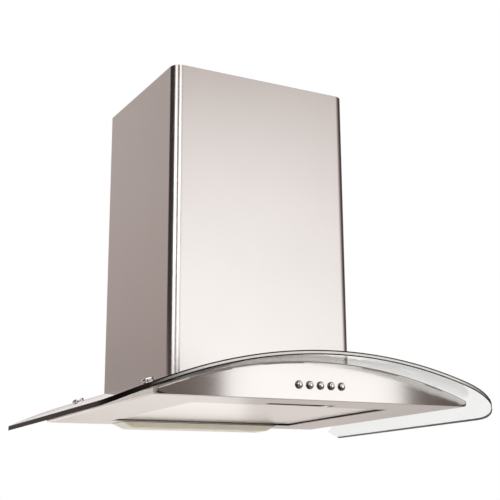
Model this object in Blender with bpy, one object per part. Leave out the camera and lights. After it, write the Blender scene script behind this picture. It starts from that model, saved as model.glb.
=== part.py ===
"""Wall-mounted extractor hood with a curved glass canopy and a chimney.

Metres, +Z up. The hood faces -Y, its wall is the plane y = 0, and heights in
this file are measured from the flat underside of the body. When a part is
placed, HANG_HEIGHT is taken off, so that the origin of the finished model is
the middle of the wall bracket's back face.
"""
import math

import bmesh
import bpy
from mathutils import Matrix, Vector

# Overall sizes
GLASS_WIDTH = 0.600
GLASS_DEPTH = 0.484
BODY_WIDTH = 0.4834
BODY_DEPTH = 0.440
CHIMNEY_WIDTH = 0.304
CHIMNEY_DEPTH = 0.275
CHIMNEY_TOP = 0.5195
HANG_HEIGHT = 0.250

# Sheet, gaps and small common sizes
SHEET = 0.0010
SEAT_GAP = 0.0003
ROUND = 32
SMALL_ROUND = 16
TINY = 0.000005

# Glass canopy: an arch about an axis along Y
GLASS_CROWN = 0.0606
GLASS_RADIUS = 0.6995
GLASS_THICK = 0.006
GLASS_CORNER = 0.092
GLASS_STEPS = 40
WASHER_GAP = 0.0025
NOTCH_CORNER = 0.012
NOTCH_GAP = 0.002
OVERCUT = 0.010

# Body shell and fascia
BODY_REAR = 0.004
BODY_EDGE = 0.0035
FASCIA_DEPTH = 0.010
FASCIA_SHEET = 0.0015
FASCIA_BEND = 0.0035
BODY_STEPS = 32

# Filter opening in the underside, and the finger recess at its front
FILTER_WIDTH = 0.316
FILTER_FRONT = 0.360
FILTER_REAR = 0.064
FILTER_GAP = 0.0013
FILTER_SUNK = 0.0025
FILTER_THICK = 0.009
FILTER_BORDER = 0.013
RECESS_WIDTH = 0.106
RECESS_FRONT = 0.385
RECESS_REAR = 0.345
RECESS_ROOF = 0.0075
HOOK_WIDTH = 0.012
HOOK_REACH = 0.012
HINGE_HEIGHT = 0.0045
HINGE_AHEAD = 0.0002
HOOK_ROOT = 0.004
HOOK_INSET = 0.0065
PAD_AHEAD = 0.008
PAD_LOW = 0.0005
PAD_HIGH = 0.001
LATCH_X = 0.027
LATCH_SIZE = 0.026
LATCH_THICK = 0.002
RIB_WIDTH = 0.018
RIB_DROP = 0.0045

# Lamp at the rear of the underside
LAMP_SHORTER = 0.040
LAMP_FRONT = 0.0605
LAMP_REAR = 0.0125
LAMP_DROP = 0.009
LAMP_END_SLOPE = 0.018
LAMP_SIDE_SLOPE = 0.004
LAMP_WALL = 0.0015
LAMP_LIP = 0.006
LAMP_HOUSING_HEIGHT = 0.035
BULB_RADIUS = 0.0125
BULB_HEIGHT = 0.0185
SOCKET_RADIUS = 0.0118
SOCKET_LENGTH = 0.024
SOCKET_BORE = 0.0075
LAMP_EDGE = 0.0018
LAMP_HOUSING_LIP = 0.002
BULB_START = 0.004
BULB_NECK = 0.0068
BULB_TIP = 0.008
BULB_STATIONS = (0.016, 0.048, 0.066, 0.074)

# Capacitor and its strap
CAPACITOR_RADIUS = 0.014
CAPACITOR_HEIGHT = 0.050
CAPACITOR_EDGE = 0.002
CAPACITOR_GAP = 0.006
CAPACITOR_BACK = 0.045
CAPACITOR_BELOW = 0.090
STRAP_THICK = 0.0018
STRAP_WIDTH = 0.010

# Terminal box and cable gland
TERMINAL_HALF = 0.045
TERMINAL_WALL = 0.002
TERMINAL_HEIGHT = 0.028
TERMINAL_INSET = 0.010
TERMINAL_DEPTH = 0.050
LID_THICK = 0.003
LID_LIP = 0.001
GLAND_THREAD = 0.0075
GLAND_BORE = 0.0040
GLAND_FLANGE = 0.0110
GLAND_NUT = 0.0095
GLAND_MOUTH = 0.0065

# Chimney covers
CHIMNEY_REAR = 0.012
CHIMNEY_CORNER = 0.016
CHIMNEY_RETURN = 0.015
CHIMNEY_FOOT_GAP = 0.0008
COVER_GAP = 0.0010
UPPER_HEIGHT = 0.380
UPPER_SUNK = 0.0045
EAR_REACH = 0.030
EAR_BELOW = 0.035
EAR_HEIGHT = 0.025

# Blower box and what stands in it
BOX_GAP = 0.024
BOX_FRONT = 0.236
BOX_REAR = 0.006
BOX_TOP = 0.290
BOX_FLANGE = 0.016
VOLUTE_Y = -0.126
VOLUTE_Z = 0.150
VOLUTE_SIDE = 0.053
VOLUTE_START = 0.080
VOLUTE_END = 0.106
VOLUTE_WALL = 0.002
TONGUE_ANGLE = 100.0
INLET_RADIUS = 0.052
WHEEL_RADIUS = 0.075
WHEEL_GAP = 0.010
BLADE_COUNT = 24
BLADE_DEPTH = 0.012
BLADE_THICK = 0.0012
BLADE_BITE = 0.0005
BLADE_LEAN = 28.0
HUB_RADIUS = 0.012
HUB_LEFT = 0.006
HUB_RIGHT = 0.010
DISC_EDGE = 0.004
WHEEL_RING = 0.003
SHAFT_RADIUS = 0.004
SHAFT_SUNK = 0.028
SHAFT_END = 0.012
MOTOR_RADIUS = 0.042
MOTOR_FACE = -0.012
MOTOR_BORE = 0.030
MOTOR_EDGE = 0.004
SPIDER_RADIUS = 0.024
SPIDER_ARM = 0.012
SPIDER_RING = (0.002, 0.010)

# Outlet collar and its two flaps
DUCT_RADIUS = 0.060
DUCT_WALL = 0.002
COLLAR_HEIGHT = 0.045
COLLAR_FLANGE = 0.068
FLAP_HEIGHT = 0.022
FLAP_THICK = 0.0012
PIN_RADIUS = 0.0015
KNUCKLE_RADIUS = 0.0030
STOP_WIDTH = 0.0035
FLAP_GAP = 0.0015
REAR_SLEEVES = ((-0.016, 0.016),)
FRONT_SLEEVES = ((-0.044, -0.020), (0.020, 0.044))

# Wall fixing
BRACKET_WIDTH = 0.200
BRACKET_HEIGHT = 0.050
BRACKET_THICK = 0.002
HOOK_SPACING = 0.140
WALL_HOOK_WIDTH = 0.020
WALL_HOOK_DROP = 0.0025
WALL_HOOK_REACH = 0.004
WALL_HOOK_RISE = 0.009
WALL_SLOT = 0.0145
WALL_HOLE_X = 0.035
WALL_HOLE_RADIUS = 0.003

# Controls in the fascia
BUTTON_COUNT = 5
BUTTON_PITCH = 0.0166
BUTTON_ROW_X = -0.006
BUTTON_HEIGHT = 0.0195
BUTTON_RADIUS = 0.0039
BUTTON_TRAVEL = 0.0025
BEZEL_RADIUS = 0.0057
SLEEVE_RADIUS = 0.0050
STEM_RADIUS = 0.0022
STEM_END = 0.024
STEM_START = 0.0065
HEAD_PROUD = 0.0035
HEAD_CROWN = 0.0012
BEZEL_PROUD = 0.0015
BEZEL_EDGE = 0.0006
BEZEL_SLEEVE = 0.0055
BLOCK_FRONT = 0.010
BLOCK_REAR = 0.032
BLOCK_HALF_HEIGHT = 0.009
BLOCK_END = 0.004

# Glass fixings
CAP_X = 0.226
CAP_FRONT_Y = -0.375
CAP_REAR_Y = -0.105
CAP_RADIUS = 0.0086
CAP_HEIGHT = 0.004
CAP_STRAIGHT = 0.35
CAP_FLAT = 0.55
WASHER_RADIUS = 0.0075
STUD_RADIUS = 0.003
STUD_LENGTH = 0.0155
BOX_SCREW_Y = (-0.190, -0.060)
SCREW_RADIUS = 0.0018
SCREW_LENGTH = 0.008
SCREW_HEAD = 0.0036
SCREW_HEAD_EDGE = 0.0014
SCREW_HEAD_HEIGHT = 0.0027
SCREW_HOLE = 0.0022
SCREW_STEPS = 12

# Worked out from the sizes above
ARCH_AXIS_Z = GLASS_CROWN - GLASS_RADIUS
BODY_RADIUS = GLASS_RADIUS - GLASS_THICK - WASHER_GAP
BODY_HALF = BODY_WIDTH / 2
FASCIA_BACK = -BODY_DEPTH + FASCIA_DEPTH
FILTER_HALF = FILTER_WIDTH / 2
HOOK_X = FILTER_HALF - HOOK_INSET
LAMP_LENGTH = FILTER_WIDTH - LAMP_SHORTER
BOX_HALF = CHIMNEY_WIDTH / 2 - BOX_GAP
VOLUTE_WIDTH = 2 * (BOX_HALF - VOLUTE_SIDE)
WHEEL_WIDTH = VOLUTE_WIDTH - 2 * WHEEL_GAP
NOTCH_HALF = BOX_HALF + BOX_FLANGE + NOTCH_GAP
NOTCH_FRONT = BOX_FRONT + BOX_FLANGE + NOTCH_GAP
VOLUTE_HALF = VOLUTE_WIDTH / 2
TONGUE_Y = VOLUTE_START * math.cos(math.radians(TONGUE_ANGLE))
DUCT_Y = VOLUTE_Y + (VOLUTE_END + TONGUE_Y) / 2
UPPER_WIDTH = CHIMNEY_WIDTH - 2 * (SHEET + COVER_GAP)
UPPER_DEPTH = CHIMNEY_DEPTH - SHEET - COVER_GAP
UPPER_REAR = CHIMNEY_REAR + SHEET + COVER_GAP
UPPER_TOP = CHIMNEY_TOP - UPPER_SUNK
UPPER_FOOT = UPPER_TOP - UPPER_HEIGHT


# Shapes. Each of these adds a closed shape to a bmesh.

def at(axis, a, b, along):
    """A point from two outline coordinates and one along the named axis."""
    if axis == "X":
        return Vector((along, a, b))
    if axis == "Y":
        return Vector((a, along, b))
    return Vector((a, b, along))


def fillet(points, radii, steps=6):
    """An outline with its corners rounded: one radius for each corner, 0 for a sharp one."""
    outline = []
    for i, (point, radius) in enumerate(zip(points, radii)):
        corner = Vector(point)
        if radius == 0:
            outline.append(tuple(corner))
            continue
        back = (Vector(points[i - 1]) - corner).normalized()
        ahead = (Vector(points[(i + 1) % len(points)]) - corner).normalized()
        half = back.angle(ahead) / 2
        centre = corner + (back + ahead).normalized() * (radius / math.sin(half))
        start = corner + back * (radius / math.tan(half)) - centre
        turn = start.angle_signed(corner + ahead * (radius / math.tan(half)) - centre)
        for step in range(steps + 1):
            outline.append(tuple(centre + Matrix.Rotation(-turn * step / steps, 2) @ start))
    return outline


def add_prism(bm, axis, outline, start, end):
    """An outline in the two other axes, run along one axis."""
    face = bm.faces.new([bm.verts.new(at(axis, a, b, start)) for a, b in outline])
    run = bmesh.ops.extrude_face_region(bm, geom=[face])
    moved = [v for v in run["geom"] if isinstance(v, bmesh.types.BMVert)]
    bmesh.ops.translate(bm, verts=moved, vec=at(axis, 0, 0, end - start))
    bmesh.ops.recalc_face_normals(bm, faces=bm.faces)


def add_box(bm, low, high):
    """A box between two corners."""
    outline = [(low[0], low[1]), (high[0], low[1]), (high[0], high[1]), (low[0], high[1])]
    add_prism(bm, "Z", outline, low[2], high[2])


def add_turned(bm, profile, centre, direction, steps=ROUND, closed=False):
    """A profile of (radius, distance along the axis) turned about an axis."""
    turn = Vector((0, 0, 1)).rotation_difference(Vector(direction)).to_matrix().to_4x4()
    place = Matrix.Translation(centre) @ turn
    verts = [bm.verts.new(place @ Vector((r, 0, h))) for r, h in profile]
    edges = [bm.edges.new(pair) for pair in zip(verts, verts[1:])]
    if closed:
        edges.append(bm.edges.new((verts[-1], verts[0])))
    bmesh.ops.spin(bm, geom=verts + edges, cent=centre, axis=Vector(direction).normalized(),
                   angle=math.tau, steps=steps, use_merge=True, use_duplicate=False)
    bmesh.ops.remove_doubles(bm, verts=bm.verts, dist=1e-6)
    bmesh.ops.recalc_face_normals(bm, faces=bm.faces)


def add_rod(bm, centre, direction, radius, length, steps=ROUND):
    """A solid cylinder that starts at centre and runs along direction."""
    add_turned(bm, [(0, 0), (radius, 0), (radius, length), (0, length)], centre, direction, steps)


def add_ring(bm, centre, direction, inner, outer, length, steps=ROUND):
    """A plain ring that starts at centre and runs along direction."""
    profile = [(inner, 0), (outer, 0), (outer, length), (inner, length)]
    add_turned(bm, profile, centre, direction, steps, closed=True)


def arch_z(radius, x):
    """Height of the arch of this radius at x."""
    return ARCH_AXIS_Z + math.sqrt(radius * radius - x * x)


def arch_points(radius, x_from, x_to, steps):
    """Points (x, z) along the arch of this radius, at equal angles."""
    first, last = math.asin(x_from / radius), math.asin(x_to / radius)
    angles = [first + (last - first) * i / steps for i in range(steps + 1)]
    return [(radius * math.sin(a), ARCH_AXIS_Z + radius * math.cos(a)) for a in angles]


def add_under_arch(bm, radius, half, front, rear):
    """Everything under the arch of this radius, between two planes across Y."""
    floor = arch_z(radius, half) - GLASS_WIDTH / 10
    outline = arch_points(radius, -half, half, GLASS_STEPS) + [(half, floor), (-half, floor)]
    add_prism(bm, "Y", outline, front, rear)


def on_arch(radius, x, y):
    """A point on the arch above x, and the arch's outward direction there."""
    up = Vector((x / radius, 0, math.sqrt(1 - (x / radius) ** 2)))
    return Vector((x, y, arch_z(radius, x))), up


# Objects and materials

def solid(name, bm):
    """An object in the hood's own heights; place() puts it in the model."""
    mesh = bpy.data.meshes.new(name)
    bm.to_mesh(mesh)
    bm.free()
    obj = bpy.data.objects.new(name, mesh)
    bpy.context.scene.collection.objects.link(obj)
    return obj


def combine(obj, bm, operation):
    """Joins, cuts or intersects an object with the shapes in a bmesh."""
    tool = solid(obj.name + "_tool", bm)
    boolean = obj.modifiers.new(operation.lower(), "BOOLEAN")
    boolean.operation = operation
    boolean.solver = "EXACT"
    boolean.object = tool
    made = obj.evaluated_get(bpy.context.evaluated_depsgraph_get())
    mesh = bpy.data.meshes.new_from_object(made)
    obj.modifiers.clear()
    old = obj.data
    obj.data = mesh
    bpy.data.meshes.remove(old)
    bpy.data.objects.remove(tool)
    mesh.name = obj.name


def place(obj, material, pivot=(0, 0, 0)):
    """Gives an object its material and its origin, and lowers it by HANG_HEIGHT."""
    obj.data.materials.clear()
    obj.data.materials.append(material)
    obj.data.transform(Matrix.Translation(-Vector(pivot)))
    obj.location = Vector(pivot) - Vector((0, 0, HANG_HEIGHT))
    return obj


def finish(name, colour, roughness, metallic, alpha=1.0):
    """A Principled material from an sRGB hex colour."""
    made = bpy.data.materials.new(name)
    made.use_nodes = True
    shader = made.node_tree.nodes["Principled BSDF"]
    parts = [int(colour[i:i + 2], 16) / 255 for i in (1, 3, 5)]
    linear = [c / 12.92 if c <= 0.04045 else ((c + 0.055) / 1.055) ** 2.4 for c in parts]
    shader.inputs["Base Color"].default_value = (*linear, 1)
    shader.inputs["Roughness"].default_value = roughness
    shader.inputs["Metallic"].default_value = metallic
    shader.inputs["Alpha"].default_value = alpha
    return made


def make_materials():
    """One material for each finish in the hood."""
    return {
        "steel": finish("brushed_steel", "#cdc4bc", 0.32, 1.0),
        "chrome": finish("chrome", "#dcdad6", 0.08, 1.0),
        "zinc": finish("galvanised_steel", "#a9acad", 0.45, 1.0),
        "aluminium": finish("aluminium_mesh", "#d3cdc8", 0.40, 1.0),
        "glass": finish("clear_glass", "#e6f0ec", 0.02, 0.0, 0.3),
        "diffuser": finish("frosted_lamp_cover", "#e8dfc4", 0.35, 0.0, 0.8),
        "bulb": finish("bulb_glass", "#f4ead2", 0.20, 0.0, 0.8),
        "black": finish("black_plastic", "#26272a", 0.50, 0.0),
        "grey": finish("grey_plastic", "#74777a", 0.50, 0.0),
        "white": finish("white_plastic", "#e4e3de", 0.45, 0.0),
        "rubber": finish("rubber", "#202020", 0.80, 0.0),
    }


# Body, fascia and glass

def body_outline(sheet):
    """Section of the body across X, drawn in by a sheet thickness."""
    half = BODY_HALF - sheet
    radius = BODY_RADIUS - sheet
    arch = arch_points(radius, -half, half, BODY_STEPS)
    corners = [(half, sheet), (-half, sheet)] + arch
    bend = BODY_EDGE - sheet
    radii = [bend, bend, bend] + [0] * (len(arch) - 2) + [bend]
    return fillet(corners, radii, 3)


def make_body_shell(material):
    """Folded steel tray with an arched top, open to the fascia at the front."""
    bm = bmesh.new()
    add_prism(bm, "Y", body_outline(0), FASCIA_BACK + SEAT_GAP, -BODY_REAR)
    obj = solid("body_shell", bm)
    bm = bmesh.new()
    add_prism(bm, "Y", body_outline(SHEET), -BODY_DEPTH, -BODY_REAR - SHEET)
    combine(obj, bm, "DIFFERENCE")
    bm = bmesh.new()
    recess = RECESS_WIDTH / 2
    aperture = [
        (-FILTER_HALF, -FILTER_REAR), (-FILTER_HALF, -FILTER_FRONT),
        (-recess, -FILTER_FRONT), (-recess, -RECESS_FRONT),
        (recess, -RECESS_FRONT), (recess, -FILTER_FRONT),
        (FILTER_HALF, -FILTER_FRONT), (FILTER_HALF, -FILTER_REAR),
    ]
    add_prism(bm, "Z", aperture, -SHEET, 2 * SHEET)
    lamp = LAMP_LENGTH / 2 - LAMP_LIP
    add_box(bm, (-lamp, -LAMP_FRONT + LAMP_LIP, -SHEET),
            (lamp, -LAMP_REAR - LAMP_LIP / 2, 2 * SHEET))
    inside = BOX_HALF - 2 * SHEET
    add_box(bm, (-inside, -BOX_FRONT + 2 * SHEET, GLASS_CROWN / 2),
            (inside, -BOX_REAR - 3 * SHEET, GLASS_CROWN))
    add_fixing_holes(bm, STUD_RADIUS + SEAT_GAP)
    add_box_screw_holes(bm)
    combine(obj, bm, "DIFFERENCE")
    return place(obj, material)


def make_fascia(material):
    """Front pressing with a soft bend along its top and ends, and a hole for each bezel."""
    bm = bmesh.new()
    add_prism(bm, "Y", body_outline(0), -BODY_DEPTH, FASCIA_BACK)
    bent = [e for e in bm.edges
            if all(abs(v.co.y + BODY_DEPTH) < TINY for v in e.verts)
            and max(v.co.z for v in e.verts) > TINY]
    bmesh.ops.bevel(bm, geom=bent, offset=FASCIA_BEND, segments=4, profile=0.5, affect="EDGES",
                    clamp_overlap=True, material=-1)
    obj = solid("front_fascia", bm)
    bm = bmesh.new()
    add_prism(bm, "Y", body_outline(FASCIA_SHEET), -BODY_DEPTH + FASCIA_SHEET, 0)
    combine(obj, bm, "DIFFERENCE")
    bm = bmesh.new()
    for x in button_places():
        add_rod(bm, (x, -BODY_DEPTH - SHEET, BUTTON_HEIGHT), (0, 1, 0),
                SLEEVE_RADIUS + SEAT_GAP, 2 * FASCIA_SHEET, SMALL_ROUND)
    combine(obj, bm, "DIFFERENCE")
    return place(obj, material)


def make_glass(material):
    """Curved glass with rounded front corners and a notch at the rear for the blower box."""
    half = GLASS_WIDTH / 2
    corners = [
        (-half, 0), (-half, -GLASS_DEPTH), (half, -GLASS_DEPTH), (half, 0),
        (NOTCH_HALF, 0), (NOTCH_HALF, -NOTCH_FRONT), (-NOTCH_HALF, -NOTCH_FRONT), (-NOTCH_HALF, 0),
    ]
    radii = [0, GLASS_CORNER, GLASS_CORNER, 0, 0, NOTCH_CORNER, NOTCH_CORNER, 0]
    bm = bmesh.new()
    wide = half + OVERCUT
    top = arch_points(GLASS_RADIUS, -wide, wide, GLASS_STEPS)
    bottom = arch_points(GLASS_RADIUS - GLASS_THICK, wide, -wide, GLASS_STEPS)
    add_prism(bm, "Y", top + bottom, -GLASS_DEPTH - OVERCUT, OVERCUT)
    obj = solid("glass_canopy", bm)
    bm = bmesh.new()
    add_prism(bm, "Z", fillet(corners, radii, 12), -GLASS_WIDTH / 4, GLASS_WIDTH / 4)
    combine(obj, bm, "INTERSECT")
    bm = bmesh.new()
    add_fixing_holes(bm, STUD_RADIUS + 5 * SEAT_GAP)
    combine(obj, bm, "DIFFERENCE")
    return place(obj, material)


def fixing_places():
    """Name, point on the glass and outward direction of each glass fixing."""
    for side, x in (("left", -CAP_X), ("right", CAP_X)):
        for end, y in (("front", CAP_FRONT_Y), ("rear", CAP_REAR_Y)):
            point, up = on_arch(GLASS_RADIUS, x, y)
            yield f"{end}_{side}", point, up


def add_fixing_holes(bm, radius):
    """Holes for the glass fixings, square to the arch."""
    for _, point, up in fixing_places():
        depth = GLASS_THICK + WASHER_GAP + 4 * SHEET
        add_rod(bm, point - up * depth, up, radius, depth + 4 * SHEET, SMALL_ROUND)


def make_glass_fixings(materials):
    """A domed cap on a stud above each glass hole, and a rubber washer under the glass."""
    for name, point, up in fixing_places():
        foot = SEAT_GAP
        edge = CAP_HEIGHT * CAP_STRAIGHT
        profile = [(0, -STUD_LENGTH), (STUD_RADIUS, -STUD_LENGTH), (STUD_RADIUS, foot),
                   (CAP_RADIUS, foot), (CAP_RADIUS, foot + edge)]
        for turn in (22.5, 45.0, 67.5, 90.0):
            share = CAP_FLAT + (1 - CAP_FLAT) * math.cos(math.radians(turn))
            rise = (CAP_HEIGHT - edge) * math.sin(math.radians(turn))
            profile.append((CAP_RADIUS * share, foot + edge + rise))
        profile.append((0, foot + CAP_HEIGHT))
        bm = bmesh.new()
        add_turned(bm, profile, point, up, SMALL_ROUND)
        place(solid("glass_cap_" + name, bm), materials["chrome"])
        bm = bmesh.new()
        low = point - up * (GLASS_THICK + WASHER_GAP - SEAT_GAP)
        add_ring(bm, low, up, STUD_RADIUS + SEAT_GAP, WASHER_RADIUS, WASHER_GAP - 2 * SEAT_GAP,
                 SMALL_ROUND)
        place(solid("seal_washer_" + name, bm), materials["rubber"])


# Chimney covers

def cover_outline(width, depth, rear, corner, back):
    """Plan of a sheet cover that is open to the wall, with its rear edges turned in."""
    half = width / 2
    outer = [(-half + back, -rear), (-half, -rear), (-half, -depth), (half, -depth),
             (half, -rear), (half - back, -rear)]
    inner = [(half - back, -rear - SHEET), (half - SHEET, -rear - SHEET),
             (half - SHEET, -depth + SHEET), (-half + SHEET, -depth + SHEET),
             (-half + SHEET, -rear - SHEET), (-half + back, -rear - SHEET)]
    radii = [0, 0, corner, corner, 0, 0, 0, 0, corner - SHEET, corner - SHEET, 0, 0]
    return fillet(outer + inner, radii, 6)


def make_chimney_lower(material):
    """Outer chimney cover; its foot follows the glass."""
    bm = bmesh.new()
    outline = cover_outline(CHIMNEY_WIDTH, CHIMNEY_DEPTH, CHIMNEY_REAR, CHIMNEY_CORNER,
                            CHIMNEY_RETURN)
    add_prism(bm, "Z", outline, 0, CHIMNEY_TOP)
    obj = solid("chimney_lower", bm)
    bm = bmesh.new()
    add_under_arch(bm, GLASS_RADIUS + CHIMNEY_FOOT_GAP, GLASS_WIDTH / 2, -GLASS_DEPTH, SHEET)
    combine(obj, bm, "DIFFERENCE")
    return place(obj, material)


def make_chimney_upper(materials):
    """Inner chimney cover, pushed down inside the lower one, and the bracket in its head."""
    bm = bmesh.new()
    corner = CHIMNEY_CORNER - SHEET - COVER_GAP
    outline = cover_outline(UPPER_WIDTH, UPPER_DEPTH, UPPER_REAR, corner, CHIMNEY_RETURN)
    add_prism(bm, "Z", outline, UPPER_FOOT, UPPER_TOP)
    place(solid("chimney_upper", bm), materials["steel"])
    bm = bmesh.new()
    half = UPPER_WIDTH / 2 - SHEET - SEAT_GAP
    foot = UPPER_TOP - EAR_BELOW
    gap = UPPER_WIDTH / 2 - CHIMNEY_RETURN - SEAT_GAP
    front = -UPPER_REAR - SHEET - SEAT_GAP
    plan = [(-gap, 0), (-gap, front - SHEET), (-half, front - SHEET), (-half, front - EAR_REACH),
            (-half + SHEET, front - EAR_REACH), (-half + SHEET, front - 2 * SHEET),
            (-gap + SHEET, front - 2 * SHEET), (-gap + SHEET, -SHEET)]
    mirrored = [(-x, y) for x, y in reversed(plan)]
    add_prism(bm, "Z", plan + mirrored, foot, foot + EAR_HEIGHT)
    place(solid("chimney_bracket", bm), materials["zinc"])


# Blower

def make_blower_box(material):
    """Sheet box over the body's top opening, with a flange that follows the arch."""
    bm = bmesh.new()
    flange_half = BOX_HALF + BOX_FLANGE
    flange_low = BODY_RADIUS + SEAT_GAP
    add_box(bm, (-BOX_HALF, -BOX_FRONT, 0), (BOX_HALF, -BOX_REAR, BOX_TOP))
    obj = solid("blower_box", bm)
    bm = bmesh.new()
    add_under_arch(bm, flange_low + SHEET / 2, flange_half, -BOX_FRONT - SHEET, SHEET)
    combine(obj, bm, "DIFFERENCE")
    bm = bmesh.new()
    low = arch_points(flange_low, -flange_half, flange_half, GLASS_STEPS // 2)
    high = arch_points(flange_low + SHEET, flange_half, -flange_half, GLASS_STEPS // 2)
    add_prism(bm, "Y", low + high, -BOX_FRONT - BOX_FLANGE, -BOX_REAR - SHEET / 2)
    combine(obj, bm, "UNION")
    bm = bmesh.new()
    inside = BOX_HALF - SHEET
    add_box(bm, (-inside, -BOX_FRONT + SHEET, -SHEET), (inside, -BOX_REAR - SHEET, BOX_TOP - SHEET))
    combine(obj, bm, "DIFFERENCE")
    bm = bmesh.new()
    add_rod(bm, (0, DUCT_Y, BOX_TOP - 2 * SHEET), (0, 0, 1), DUCT_RADIUS - 2 * DUCT_WALL, 3 * SHEET)
    tongue = HANG_HEIGHT - WALL_HOOK_DROP
    for side in (-1, 1):
        middle = side * HOOK_SPACING / 2
        reach = WALL_HOOK_WIDTH / 2 + 2 * SHEET
        add_box(bm, (middle - reach, -BOX_REAR - 2 * SHEET, tongue - WALL_SLOT),
                (middle + reach, -BOX_REAR + SHEET, tongue + SEAT_GAP))
    add_box_screw_holes(bm)
    combine(obj, bm, "DIFFERENCE")
    return place(obj, material)


def box_screw_places():
    """Name, point on the flange and outward direction of each screw of the blower box."""
    flange = BODY_RADIUS + SEAT_GAP + SHEET
    for side, x in (("left", -1), ("right", 1)):
        for end, y in zip(("front", "rear"), BOX_SCREW_Y):
            point, up = on_arch(flange, x * (BOX_HALF + BOX_FLANGE / 2), y)
            yield f"{end}_{side}", point, up


def add_box_screw_holes(bm):
    """Holes through the box flange and the body's top."""
    for _, point, up in box_screw_places():
        add_rod(bm, point - up * 4 * SHEET, up, SCREW_HOLE, 6 * SHEET, SCREW_STEPS)


def make_box_screws(material):
    """Pan-head screws that hold the blower box to the body."""
    for name, point, up in box_screw_places():
        bm = bmesh.new()
        profile = [(0, -SCREW_LENGTH), (SCREW_RADIUS, -SCREW_LENGTH), (SCREW_RADIUS, SEAT_GAP),
                   (SCREW_HEAD, SEAT_GAP), (SCREW_HEAD, SCREW_HEAD_EDGE),
                   (0.75 * SCREW_HEAD, SCREW_HEAD_HEIGHT - SEAT_GAP), (0, SCREW_HEAD_HEIGHT)]
        add_turned(bm, profile, point, up, SCREW_STEPS)
        place(solid("box_screw_" + name, bm), material)


def volute_outline(inset, top):
    """Spiral of the blower casing with its outlet neck, in Y and Z."""
    outline = []
    steps = 26
    for i in range(steps + 1):
        angle = math.radians(TONGUE_ANGLE + (360 - TONGUE_ANGLE) * i / steps)
        radius = VOLUTE_START + (VOLUTE_END - VOLUTE_START) * i / steps - inset
        outline.append((VOLUTE_Y + radius * math.cos(angle), VOLUTE_Z + radius * math.sin(angle)))
    outline.append((VOLUTE_Y + VOLUTE_END - inset, top))
    outline.append((VOLUTE_Y + TONGUE_Y + inset, top))
    outline[0] = (VOLUTE_Y + TONGUE_Y + inset, outline[0][1])
    return outline


def make_volute(material):
    """The two halves of the blower casing, each with a round inlet."""
    top = BOX_TOP - SHEET - SEAT_GAP
    for side, name in ((-1, "volute_left"), (1, "volute_right")):
        bm = bmesh.new()
        add_prism(bm, "X", volute_outline(0, top), side * SEAT_GAP / 2, side * VOLUTE_HALF)
        obj = solid(name, bm)
        bm = bmesh.new()
        add_prism(bm, "X", volute_outline(VOLUTE_WALL, top + 1), -side * SHEET,
                  side * (VOLUTE_HALF - VOLUTE_WALL))
        combine(obj, bm, "DIFFERENCE")
        bm = bmesh.new()
        add_rod(bm, (side * (VOLUTE_HALF - 2 * VOLUTE_WALL), VOLUTE_Y, VOLUTE_Z), (side, 0, 0),
                INLET_RADIUS, 4 * VOLUTE_WALL)
        combine(obj, bm, "DIFFERENCE")
        place(obj, material)


def make_wheel(material):
    """Double-inlet fan wheel: a centre disc with a hub, blades all round and two end rings."""
    half = WHEEL_WIDTH / 2
    inner = WHEEL_RADIUS - BLADE_DEPTH
    bm = bmesh.new()
    bore = SHAFT_RADIUS + SEAT_GAP
    rim = inner + DISC_EDGE
    profile = [(bore, -HUB_LEFT), (HUB_RADIUS, -HUB_LEFT), (HUB_RADIUS, -SHEET), (rim, -SHEET),
               (rim, SHEET), (HUB_RADIUS, SHEET), (HUB_RADIUS, HUB_RIGHT), (bore, HUB_RIGHT)]
    add_turned(bm, profile, (0, VOLUTE_Y, VOLUTE_Z), (1, 0, 0), ROUND, closed=True)
    obj = solid("fan_wheel", bm)
    bm = bmesh.new()
    for i in range(BLADE_COUNT):
        one = bmesh.new()
        add_box(one, (-half + WHEEL_RING / 2, inner + BLADE_BITE, -BLADE_THICK / 2),
                (half - WHEEL_RING / 2, WHEEL_RADIUS - BLADE_BITE, BLADE_THICK / 2))
        middle = Vector((0, WHEEL_RADIUS - BLADE_DEPTH / 2, 0))
        lean = Matrix.Translation(middle) @ Matrix.Rotation(math.radians(BLADE_LEAN), 4, "X")
        lean = lean @ Matrix.Translation(-middle)
        turn = Matrix.Rotation(math.tau * i / BLADE_COUNT, 4, "X")
        one.transform(Matrix.Translation((0, VOLUTE_Y, VOLUTE_Z)) @ turn @ lean)
        blade = bpy.data.meshes.new("blade")
        one.to_mesh(blade)
        one.free()
        bm.from_mesh(blade)
        bpy.data.meshes.remove(blade)
    combine(obj, bm, "UNION")
    bm = bmesh.new()
    for start in (-half, half - WHEEL_RING):
        add_ring(bm, (start, VOLUTE_Y, VOLUTE_Z), (1, 0, 0), inner - SHEET, WHEEL_RADIUS,
                 WHEEL_RING)
    combine(obj, bm, "UNION")
    return place(obj, material, (0, VOLUTE_Y, VOLUTE_Z))


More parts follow.
